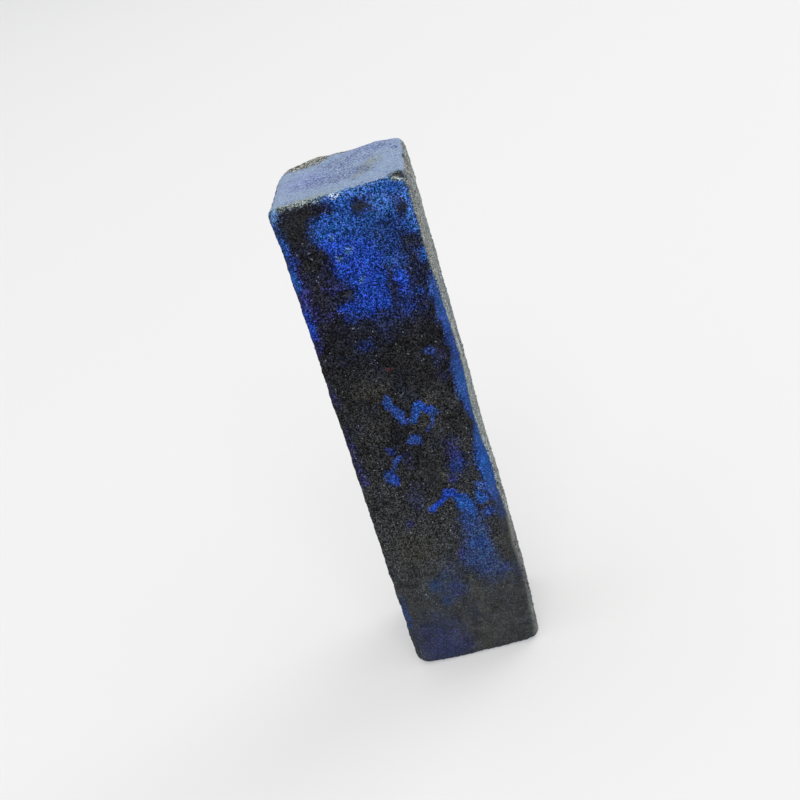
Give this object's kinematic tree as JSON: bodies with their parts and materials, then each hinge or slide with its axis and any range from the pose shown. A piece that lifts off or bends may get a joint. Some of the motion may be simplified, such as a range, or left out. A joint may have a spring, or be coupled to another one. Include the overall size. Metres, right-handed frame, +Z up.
{
  "type": "rough sapphire",
  "caption": "Sawn bar of dark blue rough sapphire with worn arrises and a natural crust on its back, standing on its flat sawn end.",
  "frame": {"origin": "on the resting plane, under the middle of the block", "axes": "+Z up along the bar, the bluest sawn face towards -Y, the natural crust towards +Y"},
  "size_m": [0.024, 0.0244, 0.0913],
  "materials": {
    "sapphire": "rough sawn, sugary grain: royal and azure blue patches in blue-black, pale frosted top, grey-olive crust"
  },
  "bodies": {
    "root": {"rough_sapphire": "sapphire"}
  },
  "joints": []
}
